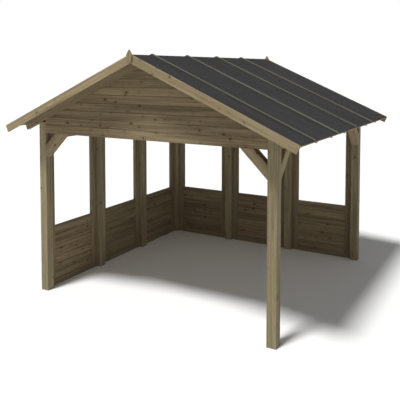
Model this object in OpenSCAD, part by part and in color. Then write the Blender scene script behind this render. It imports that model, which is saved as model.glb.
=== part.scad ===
// Timber garden gazebo: a square open shelter with a gable roof.
// The front (-Y) and the right side (+X) are open, the left side and the back have boarded half walls.
// Millimetres, +Z up, origin on the ground under the middle of the footprint.

/* [Footprint] */
// Width over the corner posts, left to right
width = 3000; // [2400:50:3600]
// Depth over the corner posts, front to back
depth = 3000; // [2400:50:3600]
// Height of the clear way in, from the ground to the underside of the beams
headroom = 1880; // [1700:10:2200]

/* [Posts and beams] */
// Side of the square posts, and the thickness of the beams and braces
post = 100; // [80:5:125]
// Height of the beams across the two gables
gable_beam_h = 100; // [80:5:125]
// Height of the beams along the two eaves
eaves_beam_h = 130; // [105:5:160]
// Length of a brace along the post and along the beam
brace_leg = 285; // [200:5:400]
// Width of a brace, seen from its broad side
brace_w = 100; // [60:5:120]

/* [Walls] */
// Height of the top of the half walls
sill_z = 726; // [500:2:1000]
// Thickness of the wall frames
frame_t = 45; // [30:1:60]
// Width of the upright studs beside the openings
stud_w = 90; // [45:5:120]
// Height of the head rail over each opening
head_rail_h = 90; // [45:5:120]
// Height of the sill rail on the half walls
sill_rail_h = 45; // [30:5:80]
// Height of the bottom rail
bottom_rail_h = 70; // [45:5:120]
// Thickness of the boards in the half walls and the gables
board_t = 20; // [12:1:24]
// Setback of the half-wall boards from the inner face of their frame
board_setback = 12; // [2:1:20]

/* [Roof] */
// Pitch of the roof, in degrees
pitch = 24.2; // [18:0.1:35]
// Overhang past the posts at each eaves
eaves_overhang = 300; // [200:10:450]
// Overhang past the posts at each gable, to the face of the bargeboards
gable_overhang = 235; // [120:5:350]
// Depth of a rafter, square to its slope
rafter_d = 80; // [60:5:110]
// Thickness of a rafter
rafter_t = 45; // [30:1:60]
// Number of pairs of rafters
rafter_pairs = 7; // [5:1:9]
// Width of the seat cut in a rafter where it sits on the wall
rafter_seat = 35; // [20:1:45]
// Distance from the eaves edge back to the tips of the rafter tails
tail_setback = 100; // [60:5:150]
// Thickness of the ridge board
ridge_t = 25; // [18:1:45]
// Thickness of the roof deck
deck_t = 16; // [12:1:24]
// Thickness of the felt
felt_t = 3; // [2:0.5:6]

/* [Roof trim] */
// Width of the bargeboards
barge_w = 85; // [70:5:150]
// Thickness of the bargeboards
barge_t = 20; // [15:1:28]
// Height of the bargeboards' top edge over the felt, square to the slope
barge_rise = 4; // [0:1:20]
// Number of battens on each slope
batten_count = 4; // [3:1:5]
// Width of a batten
batten_w = 30; // [20:1:50]
// Thickness of a batten
batten_t = 15; // [10:1:25]
// Distance from the roof's front edge to the middle of the first batten
batten_first = 400; // [200:5:450]
// Distance from batten to batten
batten_step = 724; // [500:2:740]
// Width of a finial at its shoulders
finial_w = 72; // [60:1:120]
// Width of a finial at its foot
finial_foot_w = 37; // [20:1:60]
// Height of a finial from its foot to its tip
finial_h = 138; // [120:1:240]
// Height of a finial's point, from its shoulders to its tip
finial_point_h = 57; // [40:1:110]
// Thickness of a finial
finial_t = 20; // [12:1:28]

/* [Hidden] */

// Colours of the treated timber and of the felt
post_colour = "#8c7f60";
wall_colour = "#6d6149";
gable_colour = "#7a6c50";
trim_colour = "#9a8c68";
felt_colour = "#3c3e41";

// Bays of a wall, between two corner posts and two middle posts
bays = 3;
function bay_w(run) = (run - (bays + 1) * post) / bays;
function bay_start(run, bay) = -run / 2 + post + bay * (bay_w(run) + post);

// Roof lines. The rafters' underside passes through the inner edge of the seat.
wall_top = headroom + eaves_beam_h;
seat_x = width / 2 - rafter_seat;
eaves_x = width / 2 + eaves_overhang;
rafter_tip_x = eaves_x - tail_setback;
function under_z(x) = wall_top + (seat_x - x) * tan(pitch);
function over_z(x) = under_z(x) + rafter_d / cos(pitch);

// Point on the right slope: s down the slope from the ridge line on the rafters, n square to it
function slope_point(s, n) = [s * cos(pitch) + n * sin(pitch), over_z(0) - s * sin(pitch) + n * cos(pitch)];
felt_top = deck_t + felt_t;
slope_len = (eaves_x - felt_top * sin(pitch)) / cos(pitch);
roof_len = depth + 2 * gable_overhang - 2 * barge_t;

// Studs behind each gable: one under the ridge and one halfway to each side
gable_stud_w = 45;
gable_stud_x = [-width / 4, 0, width / 4];

// A block from its low corner to its high corner
module block(low, high) {
    translate(low)
        cube(high - low);
}

// An outline in the XZ plane, given thickness from y to y + t
module across(y, t) {
    translate([0, y + t, 0])
        rotate([90, 0, 0])
            linear_extrude(height = t)
                children();
}

// What is built for the right is mirrored for the left
module side(right) {
    mirror([right ? 0 : 1, 0, 0])
        children();
}

// What is built for the back is mirrored for the front
module end(back) {
    mirror([0, back ? 0 : 1, 0])
        children();
}

// What is built for the left wall, along +Y, is turned to run along the back wall, along +X
module on_back_wall() {
    translate([0, depth / 2, 0])
        rotate([0, 0, -90])
            translate([width / 2, 0, 0])
                children();
}

module corner_post(right, back) {
    color(post_colour)
        side(right)
            end(back)
                block([width / 2 - post, depth / 2 - post, 0], [width / 2, depth / 2, wall_top]);
}

// Middle post after the given bay of a wall that runs along Y
module middle_post(run, bay) {
    start = bay_start(run, bay) - post;
    color(post_colour)
        block([-width / 2, start, 0], [-width / 2 + post, start + post, headroom]);
}

module gable_beam(back) {
    color(trim_colour)
        end(back)
            block([-width / 2 + post, depth / 2 - post, headroom],
                  [width / 2 - post, depth / 2, headroom + gable_beam_h]);
}

module eaves_beam(right) {
    color(post_colour)
        side(right)
            block([width / 2 - post, -depth / 2 + post, headroom],
                  [width / 2, depth / 2 - post, wall_top]);
}

// Outline of a brace in the corner between a post, at the origin's left, and a beam above
module brace_outline() {
    short_leg = brace_leg - brace_w * sqrt(2);
    polygon([[0, -brace_leg], [brace_leg, 0], [short_leg, 0], [0, -short_leg]]);
}

// Brace from a front post up to the front beam
module front_brace(right) {
    color(trim_colour)
        side(right)
            translate([width / 2 - post, 0, headroom])
                mirror([1, 0, 0])
                    across(-depth / 2, post)
                        brace_outline();
}

// Brace from a right-hand post up to the right eaves beam
module right_brace(back) {
    color(trim_colour)
        end(back)
            translate([width / 2, depth / 2 - post, headroom])
                rotate([0, 0, -90])
                    across(-post, post)
                        brace_outline();
}

// Studs of a wall that runs along Y: one at each side of each bay
module wall_studs(run) {
    color(wall_colour)
        for (bay = [0:bays - 1], far = [0, 1]) {
            start = bay_start(run, bay) + far * (bay_w(run) - stud_w);
            block([-width / 2, start, 0], [-width / 2 + frame_t, start + stud_w, headroom]);
        }
}

// Head, sill and bottom rails of a wall that runs along Y
module wall_rails(run) {
    levels = [[0, bottom_rail_h], [sill_z - sill_rail_h, sill_z], [headroom - head_rail_h, headroom]];
    color(wall_colour)
        for (bay = [0:bays - 1], level = levels) {
            start = bay_start(run, bay) + stud_w;
            finish = bay_start(run, bay) + bay_w(run) - stud_w;
            block([-width / 2, start, level[0]], [-width / 2 + frame_t, finish, level[1]]);
        }
}

// Boards of one bay, between the studs and between the bottom rail and the sill rail
module half_wall(run, bay) {
    inner = -width / 2 + frame_t - board_setback;
    start = bay_start(run, bay) + stud_w;
    finish = bay_start(run, bay) + bay_w(run) - stud_w;
    color(wall_colour)
        block([inner - board_t, start, bottom_rail_h], [inner, finish, sill_z - sill_rail_h]);
}

// Outline of all that is under the rafters, above the gable beam and between the corner posts
module gable_outline() {
    low = headroom + gable_beam_h;
    edge = width / 2 - post;
    peak = ridge_t / 2;
    polygon([[-edge, low], [edge, low], [edge, under_z(edge)], [peak, under_z(peak)],
             [-peak, under_z(peak)], [-edge, under_z(edge)]]);
}

module gable_cladding(back) {
    color(gable_colour)
        end(back)
            across(depth / 2 - board_t, board_t)
                gable_outline();
}

module gable_studs() {
    low = headroom + gable_beam_h;
    color(wall_colour)
        for (back = [false, true], x = gable_stud_x)
            end(back)
                across(depth / 2 - board_t - gable_stud_w, gable_stud_w)
                    intersection() {
                        gable_outline();
                        translate([x - gable_stud_w / 2, low])
                            square([gable_stud_w, over_z(0) - low]);
                    }
}

// The ridge board is as deep as the rafters' upright cut
module ridge_board() {
    peak = ridge_t / 2;
    color(post_colour)
        block([-peak, -depth / 2, under_z(peak)], [peak, depth / 2, over_z(peak)]);
}

// Outline of a right-hand rafter, with its seat on the wall and a square-cut tail
module rafter_outline() {
    peak = ridge_t / 2;
    tip = [rafter_tip_x, under_z(rafter_tip_x)];
    polygon([
        [peak, under_z(peak)],
        [seat_x, wall_top],
        [width / 2, wall_top],
        [width / 2, under_z(width / 2)],
        tip,
        tip + rafter_d * [sin(pitch), cos(pitch)],
        [peak, over_z(peak)]
    ]);
}

module rafters(right) {
    spacing = (depth - rafter_t) / (rafter_pairs - 1);
    color(post_colour)
        side(right)
            for (pair = [0:rafter_pairs - 1])
                across(-depth / 2 + pair * spacing, rafter_t)
                    rafter_outline();
}

// Outline of a layer of the right slope, n_low to n_high over the rafters, cut upright at the ridge
module layer_outline(n_low, n_high) {
    polygon([
        [0, over_z(0) + n_low / cos(pitch)],
        slope_point(slope_len, n_low),
        slope_point(slope_len, n_high),
        [0, over_z(0) + n_high / cos(pitch)]
    ]);
}

module roof_deck(right) {
    color(trim_colour)
        side(right)
            across(-roof_len / 2, roof_len)
                layer_outline(0, deck_t);
}

module felt(right) {
    color(felt_colour)
        side(right)
            across(-roof_len / 2, roof_len)
                layer_outline(deck_t, felt_top);
}

module battens(right) {
    color(trim_colour)
        side(right)
            for (place = [0:batten_count - 1])
                across(-depth / 2 - gable_overhang + batten_first + place * batten_step - batten_w / 2, batten_w)
                    layer_outline(felt_top, felt_top + batten_t);
}

module bargeboard(right, back) {
    high = felt_top + barge_rise;
    color(trim_colour)
        side(right)
            end(back)
                across(roof_len / 2, barge_t)
                    layer_outline(high - barge_w, high);
}

// A finial's foot is level with the lower edge of the bargeboards where they meet
module finial(back) {
    foot_z = over_z(0) + (felt_top + barge_rise - barge_w) / cos(pitch);
    shoulder_z = foot_z + finial_h - finial_point_h;
    color(trim_colour)
        end(back)
            across(roof_len / 2 + barge_t, finial_t)
                polygon([
                    [-finial_foot_w / 2, foot_z],
                    [finial_foot_w / 2, foot_z],
                    [finial_w / 2, shoulder_z],
                    [0, foot_z + finial_h],
                    [-finial_w / 2, shoulder_z]
                ]);
}

corner_post(right = false, back = false);  // front_left_post
corner_post(right = true, back = false);  // front_right_post
corner_post(right = false, back = true);  // back_left_post
corner_post(right = true, back = true);  // back_right_post
middle_post(depth, 1);  // left_middle_post_1
middle_post(depth, 2);  // left_middle_post_2
on_back_wall() middle_post(width, 1);  // back_middle_post_1
on_back_wall() middle_post(width, 2);  // back_middle_post_2
gable_beam(back = false);  // front_beam
gable_beam(back = true);  // back_beam
eaves_beam(right = false);  // left_eaves_beam
eaves_beam(right = true);  // right_eaves_beam
front_brace(right = false);  // front_left_brace
front_brace(right = true);  // front_right_brace
right_brace(back = false);  // right_front_brace
right_brace(back = true);  // right_back_brace
wall_studs(depth);  // left_wall_studs
wall_rails(depth);  // left_wall_rails
half_wall(depth, 0);  // left_half_wall_1
half_wall(depth, 1);  // left_half_wall_2
half_wall(depth, 2);  // left_half_wall_3
on_back_wall() wall_studs(width);  // back_wall_studs
on_back_wall() wall_rails(width);  // back_wall_rails
on_back_wall() half_wall(width, 0);  // back_half_wall_1
on_back_wall() half_wall(width, 1);  // back_half_wall_2
on_back_wall() half_wall(width, 2);  // back_half_wall_3
gable_cladding(back = false);  // front_gable_cladding
gable_cladding(back = true);  // back_gable_cladding
gable_studs();
ridge_board();
rafters(right = false);  // left_rafters
rafters(right = true);  // right_rafters
roof_deck(right = false);  // left_roof_deck
roof_deck(right = true);  // right_roof_deck
felt(right = false);  // left_felt
felt(right = true);  // right_felt
battens(right = false);  // left_battens
battens(right = true);  // right_battens
bargeboard(right = false, back = false);  // front_left_bargeboard
bargeboard(right = true, back = false);  // front_right_bargeboard
bargeboard(right = false, back = true);  // back_left_bargeboard
bargeboard(right = true, back = true);  // back_right_bargeboard
finial(back = false);  // front_finial
finial(back = true);  // back_finial
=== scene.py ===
import math
import random

import bmesh
import bpy
from mathutils import Matrix, Vector


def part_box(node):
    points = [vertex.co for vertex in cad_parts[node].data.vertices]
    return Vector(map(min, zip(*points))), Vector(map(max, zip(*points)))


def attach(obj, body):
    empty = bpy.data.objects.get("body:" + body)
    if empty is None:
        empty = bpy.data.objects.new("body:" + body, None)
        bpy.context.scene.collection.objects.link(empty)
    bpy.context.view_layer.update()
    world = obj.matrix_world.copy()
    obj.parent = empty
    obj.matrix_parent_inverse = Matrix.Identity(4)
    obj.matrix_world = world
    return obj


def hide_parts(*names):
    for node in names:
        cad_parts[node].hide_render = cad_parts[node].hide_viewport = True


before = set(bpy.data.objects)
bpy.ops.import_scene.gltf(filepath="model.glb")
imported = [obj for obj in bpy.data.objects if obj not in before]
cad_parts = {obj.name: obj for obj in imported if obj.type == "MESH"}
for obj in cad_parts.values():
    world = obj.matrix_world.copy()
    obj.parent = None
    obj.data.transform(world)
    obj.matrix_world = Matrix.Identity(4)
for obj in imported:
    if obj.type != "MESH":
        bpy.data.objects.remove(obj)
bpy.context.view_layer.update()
chance = random.Random(41)
white = (1.0, 1.0, 1.0, 1.0)
up = Vector((0, 0, 1))
print("frame loaded:", len(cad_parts), "nodes")


# A colour as it reads on screen, 0 to 255, made linear for the shaders
def shade(red, green, blue):
    parts = [red / 255, green / 255, blue / 255]
    linear = [p / 12.92 if p <= 0.04045 else ((p + 0.055) / 1.055) ** 2.4 for p in parts]
    return (linear[0], linear[1], linear[2], 1.0)


# A number that varies over a surface, so that shader maths reads as plain maths
class Reading:
    def __init__(self, bench, socket):
        self.bench = bench
        self.socket = socket

    def work(self, operation, *values):
        node = self.bench.add("ShaderNodeMath", {"operation": operation}, dict(enumerate(values)))
        return Reading(self.bench, node.outputs[0])

    def __add__(self, other):
        return self.work("ADD", self, other)

    def __radd__(self, other):
        return self.work("ADD", other, self)

    def __sub__(self, other):
        return self.work("SUBTRACT", self, other)

    def __rsub__(self, other):
        return self.work("SUBTRACT", other, self)

    def __mul__(self, other):
        return self.work("MULTIPLY", self, other)

    def __rmul__(self, other):
        return self.work("MULTIPLY", other, self)

    def __truediv__(self, other):
        return self.work("DIVIDE", self, other)

    def absolute(self):
        return self.work("ABSOLUTE", self)

    def fraction(self):
        return self.work("FRACT", self)

    def step(self, low, high):
        sockets = {"Value": self, "From Min": low, "From Max": high}
        node = self.bench.add("ShaderNodeMapRange", {"interpolation_type": "SMOOTHSTEP"}, sockets)
        return Reading(self.bench, node.outputs[0])


# The node tree of a material or of the sky
class Bench:
    def __init__(self, owner):
        owner.use_nodes = True
        self.owner = owner
        self.tree = owner.node_tree
        self.tree.nodes.clear()

    def add(self, kind, settings=None, sockets=None):
        node = self.tree.nodes.new(kind)
        for key, value in (settings or {}).items():
            if key == "stops":
                self.setStops(node.color_ramp, value)
            else:
                setattr(node, key, value)
        for key, value in (sockets or {}).items():
            source = value.socket if isinstance(value, Reading) else value
            if isinstance(source, bpy.types.NodeSocket):
                self.tree.links.new(source, node.inputs[key])
            else:
                node.inputs[key].default_value = source
        return node

    def setStops(self, ramp, stops):
        while len(ramp.elements) < len(stops):
            ramp.elements.new(0.5)
        for element, (place, colour) in zip(ramp.elements, stops):
            element.position = place
            element.color = colour

    def read(self, socket):
        return Reading(self, socket)

    def vector(self, operation, *values):
        node = self.add("ShaderNodeVectorMath", {"operation": operation}, dict(enumerate(values)))
        return node.outputs["Value" if operation in ("LENGTH", "DOT_PRODUCT") else "Vector"]

    def scaled(self, colour, factor):
        node = self.add("ShaderNodeVectorMath", {"operation": "SCALE"}, {0: colour, "Scale": factor})
        return node.outputs["Vector"]

    def noise(self, place, stretch, detail=2.0, rough=0.5):
        stretched = self.vector("MULTIPLY", place, stretch)
        sockets = {"Vector": stretched, "Scale": 1.0, "Detail": detail, "Roughness": rough}
        return self.read(self.add("ShaderNodeTexNoise", {}, sockets).outputs["Fac"])

    def cells(self, place, scale=1.0):
        return self.add("ShaderNodeTexVoronoi", {}, {"Vector": place, "Scale": scale})

    def redOf(self, colour):
        return self.read(self.add("ShaderNodeSeparateColor", {}, {0: colour}).outputs[0])

    def ramp(self, factor, places, colours):
        stops = list(zip(places, colours))
        return self.add("ShaderNodeValToRGB", {"stops": stops}, {"Fac": factor}).outputs["Color"]

    def mix(self, factor, first, second):
        return self.add("ShaderNodeMix", {"data_type": "RGBA"}, {0: factor, 6: first, 7: second}).outputs[2]

    def attribute(self, name, output):
        return self.add("ShaderNodeAttribute", {"attribute_name": name}).outputs[output]

    def here(self):
        return self.add("ShaderNodeTexCoord").outputs["Object"]

    def seen(self):
        path = self.add("ShaderNodeLightPath")
        return self.read(path.outputs["Is Camera Ray"]) + self.read(path.outputs["Is Transmission Ray"])

    def bump(self, strength, depth, height):
        node = self.add("ShaderNodeBump", {}, {"Strength": strength, "Distance": depth, "Height": height})
        return node.outputs["Normal"]

    def surface(self, sockets):
        shader = self.add("ShaderNodeBsdfPrincipled", {}, sockets)
        self.add("ShaderNodeOutputMaterial", {}, {"Surface": shader.outputs[0]})
        return self.owner


# What all the timber shares. Noises are given as cycles per metre, then detail and roughness.
wood = {
    "knotStretch": (0.7, 1.0, 1.0), "smallestKnot": 0.003, "knotRim": (0.75, 1.1), "knotStrength": 0.85,
    "haloRim": (0.9, 3.2), "haloStrength": 0.3, "ringsRoundKnots": 1.4, "ringsWarped": 4.0,
    "lateWood": (0.35, 0.9), "warp": ((1.1, 8.0, 8.0),), "fibre": ((16.0, 620.0, 620.0),),
    "streak": ((1.5, 105.0, 105.0), 3.0, 0.6), "broad": ((0.8, 18.0, 18.0),),
    "figure": {"streak": 0.5, "broad": 0.3, "fibre": 0.2}, "colourPlaces": (0.4, 0.5, 0.59),
    "damp": ((1.7, 1.7, 1.1), 3.0, 0.6), "dampRim": (0.42, 0.68),
    "relief": {"fibre": 0.35, "late": 0.4, "streak": 0.4, "knot": 0.3}, "bump": 0.55, "bumpDepth": 0.0012,
    "roughness": 0.68, "streakRoughness": 0.2, "knotPolish": -0.12, "specular": 0.3,
}


# Pressure-treated softwood. Each stick carries its own grain place: x along it, y and z from its pith.
def timberFinish(name, look):
    bench = Bench(bpy.data.materials.new(name))
    grain = bench.attribute("grain", "Vector")
    tone = bench.read(bench.attribute("tone", "Fac"))

    spots = bench.cells(bench.vector("MULTIPLY", grain, look["knotCells"]))
    knotPlace = bench.vector("DIVIDE", spots.outputs["Position"], look["knotCells"])
    away = bench.vector("MULTIPLY", bench.vector("SUBTRACT", grain, knotPlace), wood["knotStretch"])
    size = bench.redOf(spots.outputs["Color"]) * look["knotSize"] + wood["smallestKnot"]
    reach = bench.read(bench.vector("LENGTH", away)) / size
    knot = 1 - reach.step(*wood["knotRim"])
    halo = 1 - reach.step(*wood["haloRim"])

    warp = bench.noise(grain, *wood["warp"])
    radius = bench.read(bench.vector("LENGTH", bench.vector("MULTIPLY", grain, (0.0, 1.0, 1.0))))
    rings = radius * look["ringsPerMetre"] + warp * wood["ringsWarped"] + halo * wood["ringsRoundKnots"]
    ring = rings.fraction()
    lateStart, lateEnd = wood["lateWood"]
    late = ring.step(lateStart, lateEnd) - ring.step(lateEnd, 1.0)
    fibre = bench.noise(grain, *wood["fibre"])
    streak = bench.noise(grain, *wood["streak"])
    broad = bench.noise(grain, *wood["broad"])

    share = wood["figure"]
    figure = streak * share["streak"] + broad * share["broad"] + fibre * share["fibre"]
    body = bench.ramp(figure, wood["colourPlaces"], (look["dark"], look["middle"], look["light"]))
    body = bench.mix(late * look["lateStrength"], body, look["late"])
    body = bench.mix(halo * wood["haloStrength"], body, look["late"])
    body = bench.mix(knot * wood["knotStrength"], body, look["knot"])
    damp = bench.noise(bench.here(), *wood["damp"]).step(*wood["dampRim"])
    body = bench.mix(damp * look["greenStrength"], body, look["green"])
    body = bench.scaled(body, tone * look["toneSpread"] + (1 - look["toneSpread"] / 2))

    raised = wood["relief"]
    height = fibre * raised["fibre"] + late * raised["late"]
    height = height + streak * raised["streak"] - knot * raised["knot"]
    return bench.surface({
        "Base Color": body,
        "Roughness": wood["roughness"] + streak * wood["streakRoughness"] + knot * wood["knotPolish"],
        "Normal": bench.bump(wood["bump"], wood["bumpDepth"], height),
        "Specular IOR Level": wood["specular"],
    })


timberLooks = {
    "post_timber": {
        "dark": shade(112, 98, 72), "middle": shade(139, 126, 98), "light": shade(158, 146, 118),
        "late": shade(104, 88, 62), "knot": shade(58, 42, 28), "green": shade(124, 120, 88),
        "greenStrength": 0.4, "lateStrength": 0.3, "toneSpread": 0.14,
        "ringsPerMetre": 190.0, "knotCells": (3.6, 11.0, 11.0), "knotSize": 0.012,
    },
    "frame_timber": {
        "dark": shade(100, 86, 64), "middle": shade(124, 110, 86), "light": shade(144, 130, 104),
        "late": shade(92, 77, 56), "knot": shade(54, 40, 28), "green": shade(112, 107, 80),
        "greenStrength": 0.35, "lateStrength": 0.3, "toneSpread": 0.18,
        "ringsPerMetre": 200.0, "knotCells": (3.8, 13.0, 13.0), "knotSize": 0.011,
    },
    "board_timber": {
        "dark": shade(102, 86, 62), "middle": shade(127, 111, 84), "light": shade(148, 132, 103),
        "late": shade(94, 77, 54), "knot": shade(56, 40, 27), "green": shade(117, 110, 80),
        "greenStrength": 0.3, "lateStrength": 0.32, "toneSpread": 0.2,
        "ringsPerMetre": 170.0, "knotCells": (7.0, 16.0, 16.0), "knotSize": 0.012,
    },
    "batten_timber": {
        "dark": shade(92, 87, 74), "middle": shade(108, 103, 91), "light": shade(121, 117, 105),
        "late": shade(88, 80, 64), "knot": shade(62, 48, 36), "green": shade(104, 104, 84),
        "greenStrength": 0.3, "lateStrength": 0.25, "toneSpread": 0.2,
        "ringsPerMetre": 180.0, "knotCells": (3.2, 11.0, 11.0), "knotSize": 0.008,
    },
    "trim_timber": {
        "dark": shade(124, 107, 79), "middle": shade(149, 132, 101), "light": shade(165, 150, 119),
        "late": shade(117, 98, 71), "knot": shade(74, 52, 34), "green": shade(132, 124, 93),
        "greenStrength": 0.3, "lateStrength": 0.28, "toneSpread": 0.12,
        "ringsPerMetre": 180.0, "knotCells": (5.5, 15.0, 15.0), "knotSize": 0.010,
    },
}
timberFinishes = {slot: timberFinish(slot, look) for slot, look in timberLooks.items()}
print("timber finishes made")

feltLook = {
    "dark": shade(34, 34, 35), "middle": shade(47, 47, 47), "light": shade(68, 68, 68),
    "granulesPerMetre": 520.0, "colourPlaces": (0.0, 0.6, 1.0), "dust": shade(76, 74, 70),
    "patches": ((2.2, 2.2, 2.2), 4.0, 0.6), "patchRim": (0.35, 0.75), "patchStrength": 0.35,
    "dustDrift": ((0.9, 5.0, 0.9), 3.0, 0.65), "dustRim": (0.45, 0.8), "dustStrength": 0.25,
    "toneSpread": 0.16, "patchRelief": 0.4, "bump": 0.5, "bumpDepth": 0.0008,
    "roughness": 0.82, "gritRoughness": 0.14, "specular": 0.35,
}


# Mineral felt: dark slate granules on bitumen, with a little dust
def feltFinish(look):
    bench = Bench(bpy.data.materials.new("roof_felt"))
    here = bench.here()
    tone = bench.read(bench.attribute("tone", "Fac"))
    granules = bench.cells(here, look["granulesPerMetre"])
    grit = bench.redOf(granules.outputs["Color"])
    patches = bench.noise(here, *look["patches"])
    dust = bench.noise(here, *look["dustDrift"]).step(*look["dustRim"])
    body = bench.ramp(grit, look["colourPlaces"], (look["dark"], look["middle"], look["light"]))
    body = bench.mix(patches.step(*look["patchRim"]) * look["patchStrength"], body, look["dark"])
    body = bench.mix(dust * look["dustStrength"], body, look["dust"])
    body = bench.scaled(body, tone * look["toneSpread"] + (1 - look["toneSpread"] / 2))
    height = patches * look["patchRelief"] - bench.read(granules.outputs["Distance"])
    return bench.surface({
        "Base Color": body,
        "Roughness": look["roughness"] + grit * look["gritRoughness"],
        "Normal": bench.bump(look["bump"], look["bumpDepth"], height),
        "Specular IOR Level": look["specular"],
    })


roofFelt = feltFinish(feltLook)

steelLook = {
    "dark": shade(74, 72, 70), "light": shade(126, 126, 124), "bloom": ((240.0, 240.0, 240.0), 3.0, 0.6),
    "colourPlaces": (0.35, 0.65), "roughness": 0.42, "bloomRoughness": 0.3, "metal": 0.8,
}


# Galvanised nail and screw heads, dulled by the weather
def steelFinish(look):
    bench = Bench(bpy.data.materials.new("fixing_steel"))
    bloom = bench.noise(bench.here(), *look["bloom"])
    return bench.surface({
        "Base Color": bench.ramp(bloom, look["colourPlaces"], (look["dark"], look["light"])),
        "Roughness": look["roughness"] + bloom * look["bloomRoughness"],
        "Metallic": look["metal"],
    })


fixingSteel = steelFinish(steelLook)
print("felt and steel finishes made")

# How near counts as the same place when meshes are merged, cut and bevelled, in metres and degrees
closeness = {"weld": 0.00005, "flat": 1.0, "cut": 0.00001, "rim": 0.0002, "shortestRim": 0.05}


# A node's mesh copied, merged and freed of the edges inside its flat faces
def copyOfNode(name):
    work = bmesh.new()
    work.from_mesh(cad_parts[name].data)
    bmesh.ops.remove_doubles(work, verts=work.verts, dist=closeness["weld"])
    flat = math.radians(closeness["flat"])
    bmesh.ops.dissolve_limit(work, angle_limit=flat, verts=work.verts, edges=work.edges)
    return work


# Takes away what lies beyond a plane, and closes the cut
def cutAway(work, point, normal):
    geometry = work.verts[:] + work.edges[:] + work.faces[:]
    cut = bmesh.ops.bisect_plane(work, geom=geometry, dist=closeness["cut"], plane_co=point,
                                 plane_no=normal, clear_outer=True)
    rim = [g for g in cut["geom_cut"] if isinstance(g, bmesh.types.BMEdge)]
    if rim:
        bmesh.ops.edgenet_fill(work, edges=rim)


# Bevels the given edges, or all of them
def easeEdges(work, width, segments=2, edges=None):
    bmesh.ops.bevel(work, geom=edges or work.edges[:], offset=width, offset_type="OFFSET", affect="EDGES",
                    segments=segments, profile=0.5, material=-1, clamp_overlap=True)


# Adds a mesh to another one, and frees it
def addMesh(whole, part):
    spare = bpy.data.meshes.new("spare")
    part.to_mesh(spare)
    whole.from_mesh(spare)
    bpy.data.meshes.remove(spare)
    part.free()


# The separate sticks in a mesh, each as its list of vertices
def sticksOf(work):
    seen = set()
    sticks = []
    for first in work.verts:
        if first in seen:
            continue
        stick = []
        queue = [first]
        seen.add(first)
        while queue:
            vert = queue.pop()
            stick.append(vert)
            for edge in vert.link_edges:
                other = edge.other_vert(vert)
                if other not in seen:
                    seen.add(other)
                    queue.append(other)
        sticks.append(stick)
    return sticks


# How far a stick's pith may lie from its middle and how far along its tree it may start, in metres
growth = {"pith": (0.02, 0.11), "start": (0, 40), "upright": 0.3}


# Gives each stick its own grain: along its longest edge, with its pith at a chance place beside or in it
def growGrain(work, along=None):
    grain = work.verts.layers.float_vector.new("grain")
    tone = work.verts.layers.float.new("tone")
    for stick in sticksOf(work):
        edges = dict.fromkeys(edge for vert in stick for edge in vert.link_edges)
        longest = max(edges, key=lambda e: round(e.calc_length(), 5))
        axis = along or (longest.verts[1].co - longest.verts[0].co).normalized()
        aside = axis.cross(up)
        aside = aside.normalized() if aside.length > growth["upright"] else Vector((1, 0, 0))
        third = axis.cross(aside).normalized()
        centre = sum((v.co for v in stick), Vector()) / len(stick)
        turn = chance.uniform(0, 2 * math.pi)
        pith = chance.uniform(*growth["pith"])
        start = chance.uniform(*growth["start"])
        offset = Vector((start, pith * math.cos(turn), pith * math.sin(turn)))
        shadeOfStick = chance.random()
        for vert in stick:
            place = vert.co - centre
            vert[grain] = Vector((place.dot(axis), place.dot(aside), place.dot(third))) + offset
            vert[tone] = shadeOfStick


# Makes a mesh a piece of the object, with its finish
def makePiece(work, name, material, nodes=()):
    bmesh.ops.recalc_face_normals(work, faces=work.faces)
    mesh = bpy.data.meshes.new(name)
    work.to_mesh(mesh)
    work.free()
    mesh.materials.append(material)
    piece = bpy.data.objects.new(name, mesh)
    bpy.context.scene.collection.objects.link(piece)
    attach(piece, "root")
    if nodes:
        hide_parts(*nodes)


# front_left_post becomes frontLeftPost
def pieceName(node, ending=""):
    words = node.split("_")
    return words[0] + "".join(word.capitalize() for word in words[1:]) + ending


# Sawn and planed timbers: each is its node with eased arrises and its own grain
timbers = {
    "arris": 0.003,
    "post_timber": [
        "front_left_post", "front_right_post", "back_left_post", "back_right_post",
        "left_middle_post_1", "left_middle_post_2", "back_middle_post_1", "back_middle_post_2",
        "left_eaves_beam", "right_eaves_beam", "ridge_board", "left_rafters", "right_rafters",
    ],
    "frame_timber": [
        "left_wall_studs", "left_wall_rails", "back_wall_studs", "back_wall_rails", "gable_studs",
    ],
    "board_timber": ["front_beam", "back_beam"],
    "batten_timber": ["left_battens", "right_battens"],
    "trim_timber": [
        "front_left_brace", "front_right_brace", "right_front_brace", "right_back_brace",
        "front_left_bargeboard", "front_right_bargeboard", "back_left_bargeboard", "back_right_bargeboard",
    ],
}
for finish, look in timberFinishes.items():
    for node in timbers[finish]:
        work = copyOfNode(node)
        easeEdges(work, timbers["arris"])
        growGrain(work)
        makePiece(work, pieceName(node), look, [node])
print("timbers made")


# Cuts a board's long edges: one width on the side that the direction points to, one on the other
def shoulderBoard(board, values, direction):
    for width, sign in ((values["shoulder"], 1), (values["foot"], -1)):
        reach = max(sign * vert.co.dot(direction) for vert in board.verts)
        rim = []
        for edge in board.edges:
            nearest = min(sign * vert.co.dot(direction) for vert in edge.verts)
            if nearest > reach - closeness["rim"] and edge.calc_length() > closeness["shortestRim"]:
                rim.append(edge)
        if rim:
            easeEdges(board, width, 1, rim)


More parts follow.
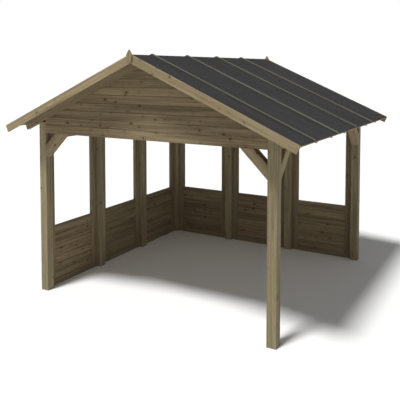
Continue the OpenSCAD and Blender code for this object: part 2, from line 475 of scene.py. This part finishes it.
# Splits a node into boards laid side by side along a direction, from its lowest place that way
def boardNode(node, values, direction):
    whole = copyOfNode(node)
    places = [vert.co.dot(direction) for vert in whole.verts]
    bounds = [min(places)]
    while bounds[-1] < max(places):
        bounds.append(bounds[-1] + values["cover"])
    boards = bmesh.new()
    for low, high in zip(bounds, bounds[1:]):
        board = whole.copy()
        if high < max(places):
            cutAway(board, direction * high, direction)
        if low > min(places):
            cutAway(board, direction * low, -direction)
        bmesh.ops.remove_doubles(board, verts=board.verts, dist=closeness["weld"])
        shoulderBoard(board, values, direction)
        addMesh(boards, board)
    whole.free()
    growGrain(boards)
    slot = values["slot"]
    makePiece(boards, pieceName(node, "Boards"), timberFinishes[slot], [node])


gableBoards = {"cover": 0.0915, "shoulder": 0.005, "foot": 0.004, "slot": "board_timber"}
for node in ("front_gable_cladding", "back_gable_cladding"):
    boardNode(node, gableBoards, up)

wallBoards = {"cover": 0.0915, "shoulder": 0.007, "foot": 0.0015, "slot": "board_timber"}
for wall in ("left", "back"):
    for bay in (1, 2, 3):
        boardNode(f"{wall}_half_wall_{bay}", wallBoards, up)

# The right roof slope: the way down it and the way out of it. The left slope mirrors both.
deckCorners = [vert.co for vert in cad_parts["right_roof_deck"].data.vertices]
ridgeTop = max(deckCorners, key=lambda p: p.z)
eavesTop = max(deckCorners, key=lambda p: round(p.x, 4))
downSlope = Vector((eavesTop.x - ridgeTop.x, 0, eavesTop.z - ridgeTop.z)).normalized()
outwards = Vector((-downSlope.z, 0, downSlope.x))
fall = downSlope.z / downSlope.x

roofBoards = {"cover": 0.0978, "shoulder": 0.003, "foot": 0.003, "slot": "trim_timber"}
for sign, node in ((1, "right_roof_deck"), (-1, "left_roof_deck")):
    boardNode(node, roofBoards, Vector((sign * downSlope.x, 0, downSlope.z)))
print("boards made")

# Felt in two sheets on each slope, with a lap between them and a cap along the ridge
feltSheets = {"lap": 0.98, "cap": 0.22, "step": 0.0009, "edge": 0.0006}
for sign, node in ((1, "right_felt"), (-1, "left_felt")):
    down = Vector((sign * downSlope.x, 0, downSlope.z))
    out = Vector((sign * outwards.x, 0, outwards.z))
    corners = [vert.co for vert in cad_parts[node].data.vertices]
    top = min(p.dot(down) for p in corners)
    outer = max(p.dot(out) for p in corners)
    lap = top + feltSheets["lap"]
    cap = top + feltSheets["cap"]
    sheets = bmesh.new()
    for sink, low, high in ((0, None, cap), (1, cap, lap), (2, lap, None)):
        sheet = copyOfNode(node)
        if high is not None:
            cutAway(sheet, down * high, down)
        if low is not None:
            cutAway(sheet, down * low, -down)
        if sink:
            cutAway(sheet, out * (outer - sink * feltSheets["step"]), out)
        easeEdges(sheet, feltSheets["edge"], 1)
        addMesh(sheets, sheet)
    growGrain(sheets)
    makePiece(sheets, pieceName(node, "Sheets"), roofFelt, [node])
print("felt laid")

# Finials: each is its node with eased arrises, and its grain upright
finial = {"arris": 0.003}
for node in ("front_finial", "back_finial"):
    work = copyOfNode(node)
    easeEdges(work, finial["arris"])
    growGrain(work, up)
    makePiece(work, pieceName(node), timberFinishes["trim_timber"], [node])


# Heads of nails and screws, narrower at the top, each turned to its surface
def driveHeads(name, places, values):
    work = bmesh.new()
    for point, normal in places:
        turn = up.rotation_difference(Vector(normal)).to_matrix().to_4x4()
        seat = Matrix.Translation(Vector(point)) @ turn
        bmesh.ops.create_cone(work, cap_ends=True, segments=values["sides"], radius1=values["radius"],
                              radius2=values["radius"] * values["taper"], depth=values["proud"] * 2,
                              matrix=seat)
    makePiece(work, name, fixingSteel)


# Pairs of nails through the gable boards into the studs behind them, two to each board's height
nails = {"radius": 0.0032, "proud": 0.0006, "sides": 8, "taper": 0.7}
gableNailing = {"start": 0.022, "belowSlope": 0.03, "apart": 0.011, "uneven": 0.002, "halfStud": 0.0225}
frontLow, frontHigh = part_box("front_gable_cladding")
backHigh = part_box("back_gable_cladding")[1]
studLow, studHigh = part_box("gable_studs")
wide = (studHigh.x - studLow.x) / 2 - gableNailing["halfStud"]
places = []
row = 0
for x in (-wide, 0, wide):
    z = frontLow.z + gableNailing["start"]
    peak = frontHigh.z - abs(x) * abs(fall) - gableNailing["belowSlope"]
    while z < peak:
        for dx in (-gableNailing["apart"], gableNailing["apart"]):
            places.append(((x + dx, frontLow.y, z), (0, -1, 0)))
            places.append(((x + dx, backHigh.y, z), (0, 1, 0)))
        row += 1
        uneven = gableNailing["uneven"] if row % 2 else -gableNailing["uneven"]
        z += gableBoards["cover"] / 2 + uneven
driveHeads("gableNails", places, nails)

# Pairs of nails along each bargeboard, at shares of its reach from the ridge
bargeNailing = {"shares": (0.06, 0.3, 0.52, 0.74, 0.95), "apart": 0.022, "drop": 0.018}
places = []
for end, face in (("front", -1), ("back", 1)):
    for side, sign in (("left", -1), ("right", 1)):
        low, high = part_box(f"{end}_{side}_bargeboard")
        y = low.y if face < 0 else high.y
        for share in bargeNailing["shares"]:
            run = (high.x - low.x) * share
            middle = ridgeTop.z - bargeNailing["drop"] + run * fall
            for across in (-bargeNailing["apart"], bargeNailing["apart"]):
                x = sign * (run + across * outwards.x)
                places.append(((x, y, middle + across * outwards.z), (0, face, 0)))
driveHeads("bargeboardNails", places, nails)

# Two screws across each end of a brace, on the face that shows
screws = {"radius": 0.0055, "proud": 0.0007, "sides": 10, "taper": 0.7}
braceFixing = {"braceWidth": 0.1, "shares": (0.13, 0.87), "apart": 0.02}
braces = (("front", "left", 1), ("front", "right", -1), ("right", "front", 1), ("right", "back", -1))
slant = math.sqrt(0.5)
places = []
for wall, end, sign in braces:
    low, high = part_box(f"{wall}_{end}_brace")
    leg = high.z - low.z - braceFixing["braceWidth"] * slant
    post = low if sign > 0 else high
    for share in braceFixing["shares"]:
        for across in (-braceFixing["apart"], braceFixing["apart"]):
            run = leg * share + across * slant
            z = high.z - leg * (1 - share) - across * slant
            if wall == "front":
                places.append(((post.x + sign * run, low.y, z), (0, -1, 0)))
            else:
                places.append(((high.x, post.y + sign * run, z), (1, 0, 0)))
driveHeads("braceScrews", places, screws)
print("fixings driven")

# Camera: where it stands, the way that it looks and its lens
cameraValues = {
    "place": (3.5032, -6.4407, 2.6373), "turn": 29.928, "down": 3.143,
    "lens": 52.016, "sensor": 36, "shiftX": 0.00438, "shiftY": -0.25, "farthest": 200,
}
camera = bpy.data.objects.new("camera", bpy.data.cameras.new("camera"))
bpy.context.scene.collection.objects.link(camera)
camera.location = cameraValues["place"]
camera.rotation_euler = (math.radians(90 - cameraValues["down"]), 0, math.radians(cameraValues["turn"]))
camera.data.lens = cameraValues["lens"]
camera.data.sensor_width = cameraValues["sensor"]
camera.data.shift_x = cameraValues["shiftX"]
camera.data.shift_y = cameraValues["shiftY"]
camera.data.clip_end = cameraValues["farthest"]
bpy.context.scene.camera = camera

# A soft sun from high in front
sunlight = {"strength": 2.9, "softness": 11.0, "from": (-0.11, -0.43, 1.0)}
sun = bpy.data.objects.new("sun", bpy.data.lights.new("sun", "SUN"))
sun.data.energy = sunlight["strength"]
sun.data.angle = math.radians(sunlight["softness"])
sun.rotation_euler = Vector(sunlight["from"]).to_track_quat("Z", "Y").to_euler()
bpy.context.scene.collection.objects.link(sun)

sky = {
    "zenith": 0.13, "horizon": 0.56, "side": (0.8, -0.6, 0.0), "sideShare": 0.55, "level": 0.75,
    "tint": (0.97, 0.985, 1.0, 1.0),
}


# A pale sky, brighter low down, in front and to the right. The camera sees it as white.
def skyFinish(look):
    world = bpy.data.worlds.new("sky")
    bpy.context.scene.world = world
    bench = Bench(world)
    towards = bench.add("ShaderNodeTexCoord").outputs["Generated"]
    height = bench.read(bench.add("ShaderNodeSeparateXYZ", {}, {0: towards}).outputs["Z"])
    low = 1 - height.absolute()
    aside = bench.read(bench.vector("DOT_PRODUCT", towards, look["side"]))
    glow = low * low * (aside * look["sideShare"] + look["level"])
    strength = glow * look["horizon"] + look["zenith"]
    dim = bench.add("ShaderNodeBackground", {}, {"Color": look["tint"], "Strength": strength})
    bright = bench.add("ShaderNodeBackground", {}, {"Color": white, "Strength": 1.0})
    sources = {0: bench.seen(), 1: dim.outputs[0], 2: bright.outputs[0]}
    choice = bench.add("ShaderNodeMixShader", {}, sources)
    bench.add("ShaderNodeOutputWorld", {}, {"Surface": choice.outputs[0]})


skyFinish(sky)

floorLook = {"grey": 0.85, "glow": 0.01, "size": 60, "below": 0.0005}


# Floor: white to the camera where it is lit, pale to the light that it throws back
def floorFinish(look):
    bench = Bench(bpy.data.materials.new("pale_floor"))
    pale = (look["grey"], look["grey"], look["grey"], 1.0)
    plain = bench.add("ShaderNodeBsdfDiffuse", {}, {"Color": pale})
    bright = bench.add("ShaderNodeBsdfDiffuse", {}, {"Color": white})
    glow = bench.add("ShaderNodeEmission", {}, {"Color": white, "Strength": look["glow"]})
    both = bench.add("ShaderNodeAddShader", {}, {0: bright.outputs[0], 1: glow.outputs[0]})
    sources = {0: bench.seen(), 1: plain.outputs[0], 2: both.outputs[0]}
    choice = bench.add("ShaderNodeMixShader", {}, sources)
    bench.add("ShaderNodeOutputMaterial", {}, {"Surface": choice.outputs[0]})
    return bench.owner


ground = bmesh.new()
sunk = Matrix.Translation((0, 0, -floorLook["below"]))
bmesh.ops.create_grid(ground, x_segments=1, y_segments=1, size=floorLook["size"], matrix=sunk)
floorMesh = bpy.data.meshes.new("floor")
ground.to_mesh(floorMesh)
ground.free()
floorMesh.materials.append(floorFinish(floorLook))
floor = bpy.data.objects.new("floor", floorMesh)
bpy.context.scene.collection.objects.link(floor)
bpy.context.scene.view_settings.view_transform = "Standard"
print("camera, light and floor set")
